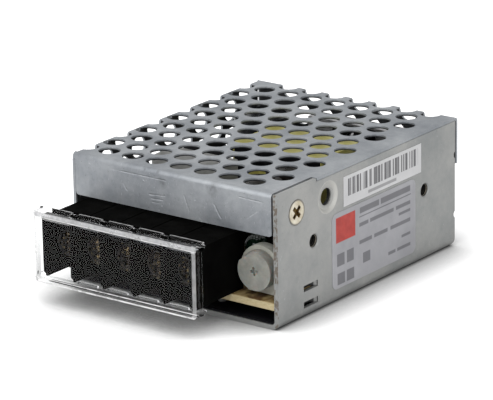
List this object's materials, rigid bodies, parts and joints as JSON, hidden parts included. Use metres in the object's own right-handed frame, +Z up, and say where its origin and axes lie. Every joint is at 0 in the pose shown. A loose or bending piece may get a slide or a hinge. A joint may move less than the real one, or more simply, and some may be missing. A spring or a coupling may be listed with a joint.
{
  "type": "enclosed switching power supply",
  "caption": "Small enclosed power supply: folded steel case with a perforated cover, front terminal block with captive screws under a clear flip cover, adjuster knob and indicator light.",
  "frame": {"origin": "centre of the case's base, on its underside", "axes": "+Y from the terminals to the rear wall, +Z up out of the base, +X to the wall with the mounting holes"},
  "size_m": [0.0515, 0.077, 0.028],
  "materials": {
    "zinc_chassis": "zinc plated, satin",
    "zinc_cover": "zinc plated, satin",
    "black_film": "thin black film",
    "board": "cream laminate",
    "solder": "bright solder",
    "plated_screws": "bright plated",
    "brassy_screw": "pale yellow plated",
    "black_block": "moulded, satin",
    "tinned_metal": "tinned",
    "clear_plastic": "clear moulded plastic",
    "ivory_plastic": "ivory",
    "milky_knob": "milky white",
    "green_light": "dark green tinted",
    "ferrite": "dark ferrite",
    "black_plastic": "black moulded",
    "yellow_tape": "polyester tape",
    "dark_sleeve": "shrunk sleeve",
    "brown_sleeve": "shrunk sleeve",
    "grey_case": "grey case",
    "blue_coat": "dipped coat",
    "brown_case": "brown case",
    "dark_coat": "dipped coat",
    "copper_wire": "enamelled wire",
    "bare_aluminium": "bare",
    "white_plastic": "white moulded",
    "white_label": "paper label",
    "silver_label": "silver film label"
  },
  "bodies": {
    "case": {"chassis": "zinc_chassis", "mesh_cover": "zinc_cover", "insulation_film": "black_film", "circuit_board": "board", "solder_joints": "solder", "standoffs": "plated_screws", "board_screws": "plated_screws", "cover_screw": "brassy_screw", "terminal_block": "black_block", "terminal_contacts": "tinned_metal", "trimmer_body": "ivory_plastic", "indicator_light": "green_light", "transformer_core": "ferrite", "transformer_bobbin": "black_plastic", "transformer_winding": "yellow_tape", "transformer_tape": "yellow_tape", "bulk_capacitor": "dark_sleeve", "output_capacitors": "brown_sleeve", "filter_capacitor": "grey_case", "safety_capacitor": "blue_coat", "fuse": "brown_case", "thermistor": "dark_coat", "line_choke": "ferrite", "line_choke_coils": "copper_wire", "bridge_rectifier": "black_plastic", "heat_sink": "bare_aluminium", "switching_transistor": "black_plastic", "output_heat_sink": "bare_aluminium", "output_rectifier": "black_plastic", "output_choke": "brown_sleeve", "optocoupler": "white_plastic", "controller": "black_plastic", "narrow_label": "white_label", "rating_label": "silver_label"},
    "flip_cover": {"terminal_cover": "clear_plastic"},
    "knob": {"trimmer_knob": "milky_knob"},
    "washer_1": {"clamp_washer_1": "tinned_metal"},
    "screw_1": {"terminal_screw_1": "plated_screws"},
    "washer_2": {"clamp_washer_2": "tinned_metal"},
    "screw_2": {"terminal_screw_2": "plated_screws"},
    "washer_3": {"clamp_washer_3": "tinned_metal"},
    "screw_3": {"terminal_screw_3": "plated_screws"},
    "washer_4": {"clamp_washer_4": "tinned_metal"},
    "screw_4": {"terminal_screw_4": "plated_screws"},
    "washer_5": {"clamp_washer_5": "tinned_metal"},
    "screw_5": {"terminal_screw_5": "plated_screws"}
  },
  "joints": [
    {"name": "cover_hinge", "type": "hinge", "parent": "case", "child": "flip_cover", "pos_m": [-0.00487, -0.04235, 0.01875], "axis": [-1, 0, 0], "range_deg": [0, 100]},
    {"name": "knob_turn", "type": "hinge", "parent": "case", "child": "knob", "pos_m": [0.01908, -0.03075, 0.01085], "axis": [0, -1, 0], "range_deg": [-120, 120]},
    {"name": "clamp_1", "type": "slide", "parent": "case", "child": "washer_1", "axis": [0, -1, 0], "range_m": [0, 0.0015]},
    {"name": "screw_1_turn", "type": "hinge", "parent": "washer_1", "child": "screw_1", "pos_m": [-0.02012, -0.03975, 0.01195], "axis": [0, -1, 0], "range_deg": [0, 1081]},
    {"name": "clamp_2", "type": "slide", "parent": "case", "child": "washer_2", "axis": [0, -1, 0], "range_m": [0, 0.0015]},
    {"name": "screw_2_turn", "type": "hinge", "parent": "washer_2", "child": "screw_2", "pos_m": [-0.01249, -0.03975, 0.01195], "axis": [0, -1, 0], "range_deg": [0, 1081]},
    {"name": "clamp_3", "type": "slide", "parent": "case", "child": "washer_3", "axis": [0, -1, 0], "range_m": [0, 0.0015]},
    {"name": "screw_3_turn", "type": "hinge", "parent": "washer_3", "child": "screw_3", "pos_m": [-0.00487, -0.03975, 0.01195], "axis": [0, -1, 0], "range_deg": [0, 1081]},
    {"name": "clamp_4", "type": "slide", "parent": "case", "child": "washer_4", "axis": [0, -1, 0], "range_m": [0, 0.0015]},
    {"name": "screw_4_turn", "type": "hinge", "parent": "washer_4", "child": "screw_4", "pos_m": [0.00275, -0.03975, 0.01195], "axis": [0, -1, 0], "range_deg": [0, 1081]},
    {"name": "clamp_5", "type": "slide", "parent": "case", "child": "washer_5", "axis": [0, -1, 0], "range_m": [0, 0.0015]},
    {"name": "screw_5_turn", "type": "hinge", "parent": "washer_5", "child": "screw_5", "pos_m": [0.01036, -0.03975, 0.01195], "axis": [0, -1, 0], "range_deg": [0, 1081]}
  ],
  "couplings": [
    {"joint": "screw_1_turn", "follows": "clamp_1", "rad_per_m": 12566},
    {"joint": "screw_2_turn", "follows": "clamp_2", "rad_per_m": 12566},
    {"joint": "screw_3_turn", "follows": "clamp_3", "rad_per_m": 12566},
    {"joint": "screw_4_turn", "follows": "clamp_4", "rad_per_m": 12566},
    {"joint": "screw_5_turn", "follows": "clamp_5", "rad_per_m": 12566}
  ]
}
